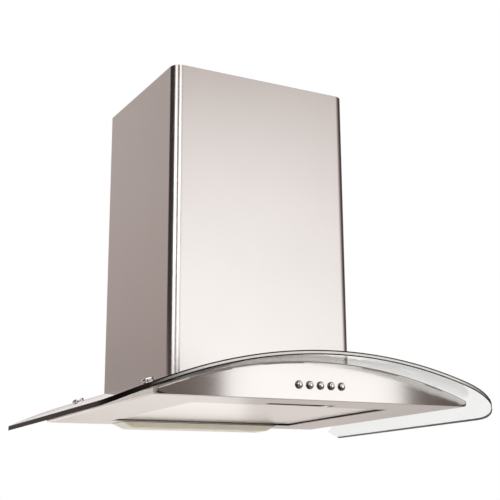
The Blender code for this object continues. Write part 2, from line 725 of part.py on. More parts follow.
def make_motor(materials):
    """Motor inside the left half of the wheel, its shaft, and the spider that carries it."""
    centre = (0, VOLUTE_Y, VOLUTE_Z)
    back = -VOLUTE_HALF - 2 * SHEET + SEAT_GAP
    bore = SHAFT_RADIUS + SEAT_GAP
    shoulder = MOTOR_RADIUS - MOTOR_EDGE
    profile = [(0, MOTOR_FACE - MOTOR_BORE), (bore, MOTOR_FACE - MOTOR_BORE), (bore, MOTOR_FACE),
               (shoulder, MOTOR_FACE), (MOTOR_RADIUS, MOTOR_FACE - MOTOR_EDGE),
               (MOTOR_RADIUS, back + MOTOR_EDGE), (shoulder, back), (0, back)]
    bm = bmesh.new()
    add_turned(bm, profile, centre, (1, 0, 0))
    place(solid("fan_motor", bm), materials["grey"])
    bm = bmesh.new()
    add_rod(bm, (MOTOR_FACE - SHAFT_SUNK, VOLUTE_Y, VOLUTE_Z), (1, 0, 0), SHAFT_RADIUS,
            SHAFT_END - MOTOR_FACE + SHAFT_SUNK, SMALL_ROUND)
    place(solid("motor_shaft", bm), materials["steel"], centre)
    plate = back - SEAT_GAP - 2 * SHEET
    bm = bmesh.new()
    add_rod(bm, (plate, VOLUTE_Y, VOLUTE_Z), (1, 0, 0), SPIDER_RADIUS, 2 * SHEET)
    obj = solid("motor_spider", bm)
    for turn in (90, 210, 330):
        bm = bmesh.new()
        add_box(bm, (plate + SHEET / 4, SPIDER_RADIUS / 2, -SPIDER_ARM / 2),
                (plate + 7 * SHEET / 4, INLET_RADIUS + SPIDER_ARM / 2, SPIDER_ARM / 2))
        bm.transform(Matrix.Translation(centre) @ Matrix.Rotation(math.radians(turn), 4, "X"))
        combine(obj, bm, "UNION")
    bm = bmesh.new()
    inner, outer = (INLET_RADIUS + out for out in SPIDER_RING)
    add_ring(bm, (plate, VOLUTE_Y, VOLUTE_Z), (1, 0, 0), inner, outer, 2 * SHEET)
    combine(obj, bm, "UNION")
    place(obj, materials["zinc"])


def make_collar(materials):
    """Round duct collar with a stop ring, its pin, and two flaps that open upwards."""
    base = BOX_TOP + SEAT_GAP
    inner = DUCT_RADIUS - DUCT_WALL
    axis = base + FLAP_HEIGHT
    stop = axis - FLAP_THICK / 2 - SEAT_GAP
    centre = (0, DUCT_Y, 0)
    profile = [(inner, base), (COLLAR_FLANGE, base), (COLLAR_FLANGE, base + DUCT_WALL),
               (DUCT_RADIUS, base + DUCT_WALL), (DUCT_RADIUS, base + COLLAR_HEIGHT),
               (inner, base + COLLAR_HEIGHT), (inner, stop), (inner - STOP_WIDTH, stop),
               (inner - STOP_WIDTH, stop - DUCT_WALL), (inner, stop - DUCT_WALL)]
    bm = bmesh.new()
    add_turned(bm, profile, centre, (0, 0, 1), ROUND, closed=True)
    obj = solid("outlet_collar", bm)
    bm = bmesh.new()
    add_rod(bm, (-DUCT_RADIUS - SHEET, DUCT_Y, axis), (1, 0, 0), PIN_RADIUS + SEAT_GAP,
            2 * (DUCT_RADIUS + SHEET), 12)
    combine(obj, bm, "DIFFERENCE")
    place(obj, materials["white"])
    bm = bmesh.new()
    add_rod(bm, (-DUCT_RADIUS, DUCT_Y, axis), (1, 0, 0), PIN_RADIUS, 2 * DUCT_RADIUS, 12)
    place(solid("damper_pin", bm), materials["steel"])
    knuckles = {"damper_rear": (1, REAR_SLEEVES), "damper_front": (-1, FRONT_SLEEVES)}
    for name, (side, sleeves) in knuckles.items():
        place(make_flap(name, side, sleeves, axis, inner), materials["white"], (0, DUCT_Y, axis))


def make_flap(name, side, sleeves, axis, inner):
    """Half a disc with sleeves round the pin; it stays clear of the other flap's sleeves."""
    radius = inner - FLAP_GAP
    clear = KNUCKLE_RADIUS + 2 * SEAT_GAP
    first = math.asin(clear / radius)
    outline = [(radius * math.cos(first + (math.pi - 2 * first) * i / 20),
                DUCT_Y + side * radius * math.sin(first + (math.pi - 2 * first) * i / 20))
               for i in range(21)]
    bm = bmesh.new()
    add_prism(bm, "Z", outline, axis - FLAP_THICK / 2, axis + FLAP_THICK / 2)
    obj = solid(name, bm)
    for low, high in sleeves:
        bm = bmesh.new()
        web = sorted((DUCT_Y + side * (PIN_RADIUS + SHEET), DUCT_Y + side * (clear + 2 * SHEET)))
        add_box(bm, (low, web[0], axis - FLAP_THICK / 2), (high, web[1], axis + FLAP_THICK / 2))
        combine(obj, bm, "UNION")
        bm = bmesh.new()
        add_rod(bm, (low, DUCT_Y, axis), (1, 0, 0), KNUCKLE_RADIUS, high - low, 12)
        combine(obj, bm, "UNION")
    bm = bmesh.new()
    add_rod(bm, (-DUCT_RADIUS, DUCT_Y, axis), (1, 0, 0), PIN_RADIUS + SEAT_GAP, 2 * DUCT_RADIUS, 12)
    combine(obj, bm, "DIFFERENCE")
    return obj


# Electrics on and in the blower box

def make_capacitor(materials):
    """Run capacitor beside the right half of the casing, in a strap on the box wall."""
    radius, height = CAPACITOR_RADIUS, CAPACITOR_HEIGHT
    edge = CAPACITOR_EDGE
    middle = Vector((BOX_HALF - SHEET - radius - CAPACITOR_GAP, -BOX_FRONT + CAPACITOR_BACK,
                     BOX_TOP - CAPACITOR_BELOW))
    bm = bmesh.new()
    profile = [(0, 0), (radius, 0), (radius, height - edge), (radius - edge, height), (0, height)]
    add_turned(bm, profile, middle, (0, 0, 1), SMALL_ROUND)
    place(solid("capacitor", bm), materials["white"])
    bm = bmesh.new()
    low = middle + Vector((0, 0, height * 0.4))
    add_ring(bm, low, (0, 0, 1), radius + SEAT_GAP, radius + STRAP_THICK, STRAP_WIDTH, SMALL_ROUND)
    obj = solid("capacitor_strap", bm)
    bm = bmesh.new()
    wall = BOX_HALF - SHEET - SEAT_GAP
    add_box(bm, (middle.x + radius + SHEET, middle.y - STRAP_WIDTH / 2, low.z),
            (wall, middle.y + STRAP_WIDTH / 2, low.z + STRAP_WIDTH))
    combine(obj, bm, "UNION")
    place(obj, materials["zinc"])


def make_terminal_box(materials):
    """Junction box on the blower box, its lid, and the gland where the mains lead goes in."""
    half, wall, height = TERMINAL_HALF, TERMINAL_WALL, TERMINAL_HEIGHT
    front = -BOX_FRONT + TERMINAL_INSET
    rear = front + TERMINAL_DEPTH
    base = BOX_TOP + SEAT_GAP
    middle = (front + rear) / 2
    bm = bmesh.new()
    add_box(bm, (-half, front, base), (half, rear, base + height))
    obj = solid("terminal_box", bm)
    bm = bmesh.new()
    add_box(bm, (-half + wall, front + wall, base + wall),
            (half - wall, rear - wall, base + 2 * height))
    combine(obj, bm, "DIFFERENCE")
    bm = bmesh.new()
    add_rod(bm, (-half - wall, middle, base + height / 2), (1, 0, 0), GLAND_THREAD + SEAT_GAP,
            3 * wall, SMALL_ROUND)
    combine(obj, bm, "DIFFERENCE")
    place(obj, materials["black"])
    bm = bmesh.new()
    add_box(bm, (-half, front, base + height + SEAT_GAP), (half, rear, base + height + LID_THICK))
    obj = solid("terminal_lid", bm)
    bm = bmesh.new()
    inset = wall + SEAT_GAP
    add_box(bm, (-half + inset, front + inset, base + height - LID_THICK),
            (half - inset, rear - inset, base + height + LID_LIP))
    combine(obj, bm, "UNION")
    place(obj, materials["black"])
    face = wall + SEAT_GAP
    profile = [(GLAND_BORE, -2 * wall), (GLAND_THREAD, -2 * wall), (GLAND_THREAD, face),
               (GLAND_FLANGE, face), (GLAND_FLANGE, 4 * wall), (GLAND_NUT, 5 * wall),
               (GLAND_NUT, 8 * wall), (GLAND_MOUTH, 10 * wall), (GLAND_BORE, 10 * wall)]
    bm = bmesh.new()
    add_turned(bm, profile, (-half + wall, middle, base + height / 2), (-1, 0, 0), SMALL_ROUND,
               closed=True)
    place(solid("cable_gland", bm), materials["grey"])


def make_wall_bracket(material):
    """Wall plate with two upturned tongues that the blower box hangs on."""
    bm = bmesh.new()
    half = BRACKET_WIDTH / 2
    low, high = HANG_HEIGHT - BRACKET_HEIGHT / 2, HANG_HEIGHT + BRACKET_HEIGHT / 2
    add_box(bm, (-half, -BRACKET_THICK, low), (half, 0, high))
    obj = solid("wall_bracket", bm)
    tongue = HANG_HEIGHT - WALL_HOOK_DROP
    front = -BOX_REAR - SHEET - WALL_HOOK_REACH
    for side in (-1, 1):
        middle = side * HOOK_SPACING / 2
        reach = WALL_HOOK_WIDTH / 2
        section = [(-BRACKET_THICK / 2, tongue - BRACKET_THICK), (-BRACKET_THICK / 2, tongue),
                   (front + BRACKET_THICK, tongue), (front + BRACKET_THICK, tongue + WALL_HOOK_RISE),
                   (front, tongue + WALL_HOOK_RISE), (front, tongue - BRACKET_THICK)]
        bm = bmesh.new()
        add_prism(bm, "X", section, middle - reach, middle + reach)
        combine(obj, bm, "UNION")
    bm = bmesh.new()
    for side in (-1, 1):
        add_rod(bm, (side * WALL_HOLE_X, -2 * BRACKET_THICK, HANG_HEIGHT), (0, 1, 0),
                WALL_HOLE_RADIUS, 3 * BRACKET_THICK, SMALL_ROUND)
    combine(obj, bm, "DIFFERENCE")
    return place(obj, material)


# Underside: filter and lamp

def filter_pivot():
    """A point on the filter's hinge line at the rear edge of its opening."""
    return (0, -FILTER_REAR - FILTER_GAP - HINGE_AHEAD, HINGE_HEIGHT)


def make_filter(materials):
    """Filter frame with a raised tongue over the finger recess, its mesh pad and its latch."""
    half = FILTER_HALF - FILTER_GAP
    front, rear = -FILTER_FRONT + FILTER_GAP, -FILTER_REAR - FILTER_GAP
    tongue = RECESS_WIDTH / 2 - FILTER_GAP
    low, high = FILTER_SUNK, FILTER_SUNK + FILTER_THICK
    plan = [(-half, rear), (-half, front), (-tongue, front), (-tongue, -RECESS_FRONT + FILTER_GAP),
            (tongue, -RECESS_FRONT + FILTER_GAP), (tongue, front), (half, front), (half, rear)]
    bm = bmesh.new()
    add_prism(bm, "Z", plan, low, high)
    obj = solid("filter_frame", bm)
    bm = bmesh.new()
    recess = RECESS_WIDTH / 2
    add_box(bm, (-recess, -RECESS_FRONT - SHEET, 0), (recess, -RECESS_REAR, RECESS_ROOF))
    combine(obj, bm, "DIFFERENCE")
    pad_half = half - FILTER_BORDER
    pad_front, pad_rear = -RECESS_REAR + PAD_AHEAD, rear - FILTER_BORDER
    bm = bmesh.new()
    add_box(bm, (-pad_half, pad_front, 0), (pad_half, pad_rear, 2 * high))
    combine(obj, bm, "DIFFERENCE")
    for side in (-1, 1):
        bm = bmesh.new()
        add_box(bm, (side * HOOK_X - HOOK_WIDTH / 2, rear - HOOK_ROOT, HINGE_HEIGHT - SHEET),
                (side * HOOK_X + HOOK_WIDTH / 2, rear + HOOK_REACH, HINGE_HEIGHT + SHEET))
        combine(obj, bm, "UNION")
    place(obj, materials["aluminium"], filter_pivot())
    bm = bmesh.new()
    gap = SEAT_GAP
    add_box(bm, (-pad_half + gap, pad_front + gap, low + PAD_LOW),
            (pad_half - gap, pad_rear - gap, high - PAD_HIGH))
    place(solid("filter_mesh", bm), materials["aluminium"], filter_pivot())
    place(make_latch(), materials["black"], (LATCH_X, -RECESS_FRONT + LATCH_SIZE / 2, RECESS_ROOF))


def make_latch():
    """Sliding catch under the recess roof, with a thumb rib."""
    nose = -RECESS_FRONT + SEAT_GAP
    top = RECESS_ROOF - SEAT_GAP
    bm = bmesh.new()
    add_box(bm, (LATCH_X - LATCH_SIZE / 2, nose, top - LATCH_THICK),
            (LATCH_X + LATCH_SIZE / 2, nose + LATCH_SIZE, top))
    obj = solid("filter_latch", bm)
    bm = bmesh.new()
    middle = nose + LATCH_SIZE / 2
    rib = [(middle - 3 * SHEET, top - SHEET), (middle - SHEET, top - RIB_DROP),
           (middle + SHEET, top - RIB_DROP), (middle + 3 * SHEET, top - SHEET)]
    add_prism(bm, "X", rib, LATCH_X - RIB_WIDTH / 2, LATCH_X + RIB_WIDTH / 2)
    combine(obj, bm, "UNION")
    return obj


def add_tapered_tray(bm, inset, top, bottom):
    """The lamp cover's form: a shallow tray whose ends and sides lean in."""
    half = LAMP_LENGTH / 2 - inset
    front, rear = -LAMP_FRONT + inset, -LAMP_REAR - inset
    rim = [(-half, front), (half, front), (half, rear), (-half, rear)]
    floor_half = half - LAMP_END_SLOPE
    lean = LAMP_SIDE_SLOPE
    floor = [(-floor_half, front + lean), (floor_half, front + lean),
             (floor_half, rear - lean), (-floor_half, rear - lean)]
    upper = [bm.verts.new((x, y, top)) for x, y in rim]
    lower = [bm.verts.new((x, y, bottom)) for x, y in floor]
    bm.faces.new(upper)
    bm.faces.new(lower)
    for i in range(4):
        bm.faces.new((upper[i], upper[i - 1], lower[i - 1], lower[i]))
    bmesh.ops.recalc_face_normals(bm, faces=bm.faces)


def make_lamp(materials):
    """Lamp cover, reflector housing, two sockets and two bulbs."""
    bm = bmesh.new()
    add_tapered_tray(bm, 0, -SEAT_GAP, -LAMP_DROP)
    lower = [e for e in bm.edges if min(v.co.z for v in e.verts) < -LAMP_DROP + TINY]
    bmesh.ops.bevel(bm, geom=lower, offset=LAMP_EDGE, segments=2, profile=0.5, affect="EDGES",
                    material=-1)
    obj = solid("lamp_cover", bm)
    bm = bmesh.new()
    add_tapered_tray(bm, LAMP_WALL, SHEET, -LAMP_DROP + LAMP_WALL)
    combine(obj, bm, "DIFFERENCE")
    place(obj, materials["diffuser"])
    half = LAMP_LENGTH / 2 - LAMP_LIP + LAMP_HOUSING_LIP
    front, rear = -LAMP_FRONT + LAMP_LIP - LAMP_HOUSING_LIP, -LAMP_REAR - LAMP_HOUSING_LIP / 2
    base, top = SHEET + SEAT_GAP, SHEET + LAMP_HOUSING_HEIGHT
    bm = bmesh.new()
    add_box(bm, (-half, front, base), (half, rear, top))
    obj = solid("lamp_housing", bm)
    bm = bmesh.new()
    add_box(bm, (-half + SHEET, front + SHEET, 0), (half - SHEET, rear - SHEET, top - SHEET))
    combine(obj, bm, "DIFFERENCE")
    place(obj, materials["zinc"])
    middle = (front + rear) / 2
    for side, name in ((-1, "left"), (1, "right")):
        start = side * (half - SHEET - SEAT_GAP)
        bm = bmesh.new()
        add_ring(bm, (start, middle, BULB_HEIGHT), (-side, 0, 0), SOCKET_BORE, SOCKET_RADIUS,
                 SOCKET_LENGTH, SMALL_ROUND)
        place(solid("lamp_socket_" + name, bm), materials["white"])
        wide, narrow, shoulder, tip = (SOCKET_LENGTH + out for out in BULB_STATIONS)
        profile = [(0, BULB_START), (BULB_NECK, BULB_START),
                   (BULB_NECK, SOCKET_LENGTH + BULB_START), (BULB_RADIUS, wide),
                   (BULB_RADIUS, narrow), (BULB_TIP, shoulder), (0, tip)]
        bm = bmesh.new()
        add_turned(bm, profile, (start, middle, BULB_HEIGHT), (-side, 0, 0), SMALL_ROUND)
        place(solid("bulb_" + name, bm), materials["bulb"])


# Controls

def button_places():
    """X of each button, in a row that stands a little left of the middle."""
    first = BUTTON_ROW_X - BUTTON_PITCH * (BUTTON_COUNT - 1) / 2
    return [first + BUTTON_PITCH * i for i in range(BUTTON_COUNT)]


def make_controls(materials):
    """Push buttons in their bezels, and the switch block behind them."""
    face = -BODY_DEPTH
    inner = BUTTON_RADIUS + SEAT_GAP
    rim = BEZEL_RADIUS - BEZEL_EDGE
    bezel = [(inner, -BEZEL_PROUD), (rim, -BEZEL_PROUD), (BEZEL_RADIUS, -BEZEL_PROUD + BEZEL_EDGE),
             (BEZEL_RADIUS, -SEAT_GAP), (SLEEVE_RADIUS, -SEAT_GAP), (SLEEVE_RADIUS, BEZEL_SLEEVE),
             (inner, BEZEL_SLEEVE)]
    dome = [(BUTTON_RADIUS * math.sin(math.radians(a)),
             -HEAD_PROUD - HEAD_CROWN * math.cos(math.radians(a))) for a in (0, 30, 60, 90)]
    button = dome + [(BUTTON_RADIUS, STEM_START), (STEM_RADIUS, STEM_START),
                     (STEM_RADIUS, STEM_END), (0, STEM_END)]
    for number, x in enumerate(button_places(), 1):
        centre = (x, face, BUTTON_HEIGHT)
        bm = bmesh.new()
        add_turned(bm, bezel, centre, (0, 1, 0), SMALL_ROUND, closed=True)
        place(solid(f"button_bezel_{number}", bm), materials["chrome"])
        bm = bmesh.new()
        add_turned(bm, button, centre, (0, 1, 0), SMALL_ROUND)
        place(solid(f"push_button_{number}", bm), materials["chrome"], centre)
    front, rear = face + BLOCK_FRONT, face + BLOCK_REAR
    reach = BUTTON_PITCH * BUTTON_COUNT / 2 + BLOCK_END
    bm = bmesh.new()
    add_box(bm, (BUTTON_ROW_X - reach, front, BUTTON_HEIGHT - BLOCK_HALF_HEIGHT),
            (BUTTON_ROW_X + reach, rear, BUTTON_HEIGHT + BLOCK_HALF_HEIGHT))
    obj = solid("switch_block", bm)
    bm = bmesh.new()
    depth = STEM_END - BLOCK_FRONT + BUTTON_TRAVEL + 3 * SHEET
    for x in button_places():
        add_rod(bm, (x, front - SHEET, BUTTON_HEIGHT), (0, 1, 0), STEM_RADIUS + 2 * SEAT_GAP,
                depth, SMALL_ROUND)
    combine(obj, bm, "DIFFERENCE")
    place(obj, materials["black"])


def main():
    for obj in list(bpy.data.objects):
        bpy.data.objects.remove(obj)
    materials = make_materials()
    make_body_shell(materials["steel"])
    make_fascia(materials["steel"])
    make_glass(materials["glass"])
    make_glass_fixings(materials)
    make_chimney_lower(materials["steel"])
    make_chimney_upper(materials)
    make_blower_box(materials["zinc"])
    make_box_screws(materials["zinc"])
    make_volute(materials["grey"])
    make_wheel(materials["black"])
    make_motor(materials)
    make_collar(materials)
    make_capacitor(materials)
    make_terminal_box(materials)
    make_wall_bracket(materials["zinc"])
    make_filter(materials)
    make_lamp(materials)
    make_controls(materials)


main()
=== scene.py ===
"""A wall-mounted chimney hood with an arched glass canopy, finished for show."""
from math import cos, pi, radians, sin

import bmesh
import bpy
from mathutils import Matrix, Vector


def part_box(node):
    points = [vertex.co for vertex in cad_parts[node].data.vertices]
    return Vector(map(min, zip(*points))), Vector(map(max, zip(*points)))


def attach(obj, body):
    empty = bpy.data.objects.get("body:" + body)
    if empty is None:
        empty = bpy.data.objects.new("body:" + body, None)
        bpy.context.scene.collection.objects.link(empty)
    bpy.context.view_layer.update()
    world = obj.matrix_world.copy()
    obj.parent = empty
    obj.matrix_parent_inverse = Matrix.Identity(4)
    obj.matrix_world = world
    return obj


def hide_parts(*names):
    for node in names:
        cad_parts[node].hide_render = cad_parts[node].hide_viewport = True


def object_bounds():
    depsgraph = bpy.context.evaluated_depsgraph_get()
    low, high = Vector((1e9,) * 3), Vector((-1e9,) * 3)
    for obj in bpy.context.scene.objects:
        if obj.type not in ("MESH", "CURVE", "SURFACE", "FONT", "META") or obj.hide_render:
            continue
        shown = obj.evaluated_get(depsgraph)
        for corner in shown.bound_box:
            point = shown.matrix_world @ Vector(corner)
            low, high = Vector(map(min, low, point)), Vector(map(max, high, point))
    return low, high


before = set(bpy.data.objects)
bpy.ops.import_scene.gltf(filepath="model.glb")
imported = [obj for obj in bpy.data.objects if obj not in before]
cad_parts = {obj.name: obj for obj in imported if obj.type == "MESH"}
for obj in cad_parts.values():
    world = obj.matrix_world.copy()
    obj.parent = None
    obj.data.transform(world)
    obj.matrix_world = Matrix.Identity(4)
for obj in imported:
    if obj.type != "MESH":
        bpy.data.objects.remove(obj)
CAD_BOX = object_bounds()

MM = 0.001
SIDES = ("left", "right")
CORNERS = ("front_left", "front_right", "rear_left", "rear_right")


# Small helpers

# Points closer than this are one, and faces within this many degrees of each other are one flat.
MERGE = 0.01 * MM
FLAT_WITHIN = 0.4
# An edge that turns by fewer degrees than the first is shaded smooth, and one that turns by more
# than the second is rounded off.
SMOOTH_BELOW = 40
ROUND_ABOVE = 35
ROUND_SEGMENTS = 2


def colour(text):
    """The linear colour of an sRGB hex value, with full opacity."""
    parts = [int(text[i:i + 2], 16) / 255 for i in (0, 2, 4)]
    return [c / 12.92 if c <= 0.04045 else ((c + 0.055) / 1.055) ** 2.4 for c in parts] + [1.0]


def add(tree, kind, links=None, **settings):
    """A node with its settings. links gives each input either a value or another node's output."""
    made = tree.nodes.new(kind)
    for name, value in settings.items():
        setattr(made, name, value)
    for name, value in (links or {}).items():
        if isinstance(value, bpy.types.NodeSocket):
            tree.links.new(value, made.inputs[name])
        else:
            made.inputs[name].default_value = value
    return made


def material(name, **values):
    """A new material with one Principled shader and these values on its sockets."""
    made = bpy.data.materials.new(name)
    made.use_nodes = True
    tree = made.node_tree
    shader = tree.nodes["Principled BSDF"]
    for socket, value in values.items():
        shader.inputs[socket.replace("_", " ")].default_value = value
    return made, tree, shader


def object_from(name, bm, finishes):
    """An object in the scene from a bmesh, with its materials in their order."""
    mesh = bpy.data.meshes.new(name)
    bm.to_mesh(mesh)
    bm.free()
    for finish in finishes:
        mesh.materials.append(finish)
    made = bpy.data.objects.new(name, mesh)
    bpy.context.scene.collection.objects.link(made)
    return made


def piece(name, bm, body, finishes, node):
    """A finished part of the hood, riding on a body and standing for its CAD node."""
    for face in bm.faces:
        face.smooth = True
    for edge in bm.edges:
        edge.smooth = len(edge.link_faces) != 2 or edge.calc_face_angle(0) < radians(SMOOTH_BELOW)
    made = object_from(name, bm, finishes)
    flat = made.modifiers.new("flat_faces_stay_flat", "WEIGHTED_NORMAL")
    flat.keep_sharp = True
    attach(made, body)
    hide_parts(node)


def joined(node):
    """A bmesh of a CAD node with its loose triangles joined and its flat ones made one face."""
    bm = bmesh.new()
    bm.from_mesh(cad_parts[node].data)
    bmesh.ops.remove_doubles(bm, verts=bm.verts, dist=MERGE)
    bmesh.ops.dissolve_limit(bm, angle_limit=radians(FLAT_WITHIN), verts=bm.verts, edges=bm.edges)
    return bm


def eased(node, size):
    """The node's bmesh with a small round on every sharp edge."""
    bm = joined(node)
    sharp = [e for e in bm.edges if len(e.link_faces) == 2
             and e.calc_face_angle(0) > radians(ROUND_ABOVE)]
    bmesh.ops.bevel(bm, geom=sharp, offset=size, offset_type="OFFSET", segments=ROUND_SEGMENTS,
                    profile=0.5, affect="EDGES", material=-1, clamp_overlap=True)
    return bm


# Camera

CAMERA_PLACE = Vector((-0.7542, -1.6626, -0.3973))
CAMERA_YAW = 0.5329
CAMERA_PITCH = 0.2654
CAMERA_ROLL = -0.0185
CAMERA_LENS = 76.94
CAMERA_SENSOR = 36
CAMERA_SHIFT = (-0.10, -0.05)


def make_camera():
    """A camera low in front and to the left that looks up at the hood."""
    data = bpy.data.cameras.new("camera")
    data.sensor_width = CAMERA_SENSOR
    data.lens = CAMERA_LENS
    data.shift_x, data.shift_y = CAMERA_SHIFT
    ahead = Vector((sin(CAMERA_YAW) * cos(CAMERA_PITCH), cos(CAMERA_YAW) * cos(CAMERA_PITCH),
                    sin(CAMERA_PITCH)))
    right = Vector((cos(CAMERA_YAW), -sin(CAMERA_YAW), 0))
    up = right.cross(ahead)
    turn = Matrix((
        right * cos(CAMERA_ROLL) + up * sin(CAMERA_ROLL),
        up * cos(CAMERA_ROLL) - right * sin(CAMERA_ROLL),
        -ahead,
    )).transposed()
    camera = bpy.data.objects.new("camera", data)
    camera.matrix_world = Matrix.Translation(CAMERA_PLACE) @ turn.to_4x4()
    bpy.context.scene.collection.objects.link(camera)
    bpy.context.scene.camera = camera


# Light

# The studio near the horizon, as (turn from the front in degrees with more to the right, light).
LOW_LIGHT = (
    (-180, 0.50), (-158, 0.44), (-125, 0.30), (-105, 0.08), (-60, 0.06), (-50, 0.9), (-40, 0.5),
    (-30, 1.3), (-15, 0.7), (0, 0.9), (18, 1.45), (45, 1.45), (60, 0.6), (85, 0.10),
    (115, 0.12), (130, 0.5), (147, 0.95), (157, 0.80), (168, 0.62), (180, 0.50),
)
# Above that come two bright strips on the left with dark gaps beside them, a broad panel right of
# the front, a dark right side and another broad panel behind.
HIGH_LIGHT = (
    (-180, 0.80), (-158, 0.62), (-150, 0.60), (-142, 0.05), (-72, 0.04), (-65, 3.0), (-45, 3.0),
    (-41, 0.05), (-24, 0.05), (-21, 3.0), (-5, 3.0), (2, 0.80), (12, 1.06), (22, 1.42),
    (28, 1.38), (34, 1.22), (44, 0.95), (60, 0.35), (80, 0.08), (110, 0.06), (130, 0.40),
    (148, 1.00), (165, 1.10), (180, 0.80),
)
# How the upper light changes with the sine of the angle above the horizon, in front and behind.
FRONT_FALL = ((0.0, 1.0), (0.20, 1.0), (0.285, 0.93), (0.364, 0.75), (0.48, 0.22), (0.66, 0.12),
              (1.0, 0.12))
REAR_RISE = ((0.0, 0.70), (0.13, 0.74), (0.18, 0.81), (0.28, 0.90), (0.40, 0.93), (0.60, 0.60),
             (1.0, 0.50))
# Front and behind meet within this much of a ray's Y either side of the middle.
MEET = 0.1
# The sines between which the low light gives way to the upper one, and that one to the soft box.
STEP_UP = (0.138, 0.165)
TOP_EDGE = (0.78, 0.90)
TOP_LIGHT = 1.6
BRIGHTEST = 3.0
# A light as strong as this is white, and a dimmer one turns towards the warm tint.
FULL = 1.35
WARM = "ffe7e0"


def tinted(light, top, full=FULL):
    """A ramp colour of that light: warm where it is dim, and white where it is full."""
    share = max(1 - light / full, 0)
    return [(1 - (1 - c) * share) * light / top for c in colour(WARM)[:3]] + [1.0]


def fill_ramp(ramp, stops, low, high, top, full=FULL):
    """The stops of a ramp from (place, light), with places that run from low to high."""
    ramp.elements.remove(ramp.elements[-1])
    for i, (place, light) in enumerate(stops):
        share = (place - low) / (high - low)
        stop = ramp.elements.new(share) if i else ramp.elements[0]
        stop.position = share
        stop.color = tinted(light, top, full)


def panels_around(tree):
    """The colour of the studio's panels and dark gaps, which the metal mirrors."""
    place = add(tree, "ShaderNodeTexCoord")
    way = add(tree, "ShaderNodeSeparateXYZ", {0: place.outputs["Generated"]})
    ahead = add(tree, "ShaderNodeMath", {0: way.outputs["Y"], 1: -1.0}, operation="MULTIPLY")
    turn = add(tree, "ShaderNodeMath", {0: way.outputs["X"], 1: ahead.outputs[0]},
               operation="ARCTAN2")
    share = add(tree, "ShaderNodeMapRange", {"Value": turn.outputs[0], "From Min": -pi,
                                             "From Max": pi})
    low = add(tree, "ShaderNodeValToRGB", {0: share.outputs[0]})
    fill_ramp(low.color_ramp, LOW_LIGHT, -180, 180, BRIGHTEST)
    high = add(tree, "ShaderNodeValToRGB", {0: share.outputs[0]})
    fill_ramp(high.color_ramp, HIGH_LIGHT, -180, 180, BRIGHTEST)
    fall = add(tree, "ShaderNodeValToRGB", {0: way.outputs["Z"]})
    fill_ramp(fall.color_ramp, FRONT_FALL, 0, 1, 1, 1)
    climb = add(tree, "ShaderNodeValToRGB", {0: way.outputs["Z"]})
    fill_ramp(climb.color_ramp, REAR_RISE, 0, 1, 1, 1)
    behind = add(tree, "ShaderNodeMapRange", {"Value": way.outputs["Y"], "From Min": -MEET,
                                              "From Max": MEET})
    heights = add(tree, "ShaderNodeMix", {0: behind.outputs[0], 6: fall.outputs["Color"],
                                          7: climb.outputs["Color"]}, data_type="RGBA")
    upper = add(tree, "ShaderNodeMix", {0: 1.0, 6: high.outputs["Color"],
                                        7: heights.outputs[2]},
                data_type="RGBA", blend_type="MULTIPLY")
    step = add(tree, "ShaderNodeMapRange", {"Value": way.outputs["Z"], "From Min": STEP_UP[0],
                                            "From Max": STEP_UP[1]})
    around = add(tree, "ShaderNodeMix", {0: step.outputs[0], 6: low.outputs["Color"],
                                         7: upper.outputs[2]}, data_type="RGBA")
    rise = add(tree, "ShaderNodeMapRange", {"Value": way.outputs["Z"], "From Min": TOP_EDGE[0],
                                            "From Max": TOP_EDGE[1]})
    panels = add(tree, "ShaderNodeMix", {0: rise.outputs[0], 6: around.outputs[2],
                                         7: tinted(TOP_LIGHT, BRIGHTEST)}, data_type="RGBA")
    return panels.outputs[2]


def make_light():
    """The panels light the hood, and in their place the camera sees a plain white backdrop."""
    world = bpy.data.worlds.new("studio")
    bpy.context.scene.world = world
    world.use_nodes = True
    tree = world.node_tree
    tree.nodes.clear()
    studio = add(tree, "ShaderNodeBackground", {"Color": panels_around(tree),
                                                "Strength": BRIGHTEST})
    white = add(tree, "ShaderNodeBackground", {"Color": (1, 1, 1, 1), "Strength": 1.0})
    ray = add(tree, "ShaderNodeLightPath")
    seen = add(tree, "ShaderNodeMath", {0: ray.outputs["Is Camera Ray"],
                                        1: ray.outputs["Is Transmission Ray"]},
               operation="MAXIMUM")
    both = add(tree, "ShaderNodeMixShader", {0: seen.outputs[0], 1: studio.outputs[0],
                                             2: white.outputs[0]})
    add(tree, "ShaderNodeOutputWorld", {"Surface": both.outputs[0]})
    bpy.context.scene.view_settings.view_transform = "Standard"


# Floor and cards

FLOOR_BELOW = 1.50
FLOOR_HALF = 6


def make_floor():
    bm = bmesh.new()
    bmesh.ops.create_grid(bm, x_segments=2, y_segments=2, size=FLOOR_HALF)
    bmesh.ops.translate(bm, verts=bm.verts, vec=(0, 0, CAD_BOX[0][2] - FLOOR_BELOW))
    finish = material("pale_floor", Base_Color=colour("f1efec"), Roughness=0.8)[0]
    object_from("floor", bm, [finish])


# Upright cards as (left, right, low, high) at a distance in Y. Two dark ones stand in front, with
# a gap that lights the fascia, and a white one behind draws a line along the body's lower edges.
FLAGS = ((-0.90, 0.125, -0.70, -0.085), (0.535, 1.50, -0.70, -0.085))
FLAG_Y = -1.0
REFLECTOR = (-1.10, 0.90, -1.02, -0.56)
REFLECTOR_Y = 1.5
# A dark cloth that lies low in front, as (left, right, far, near), under the edges that look down.
CLOTH = (-0.90, 1.60, -3.20, -0.62)
CLOTH_Z = -0.90


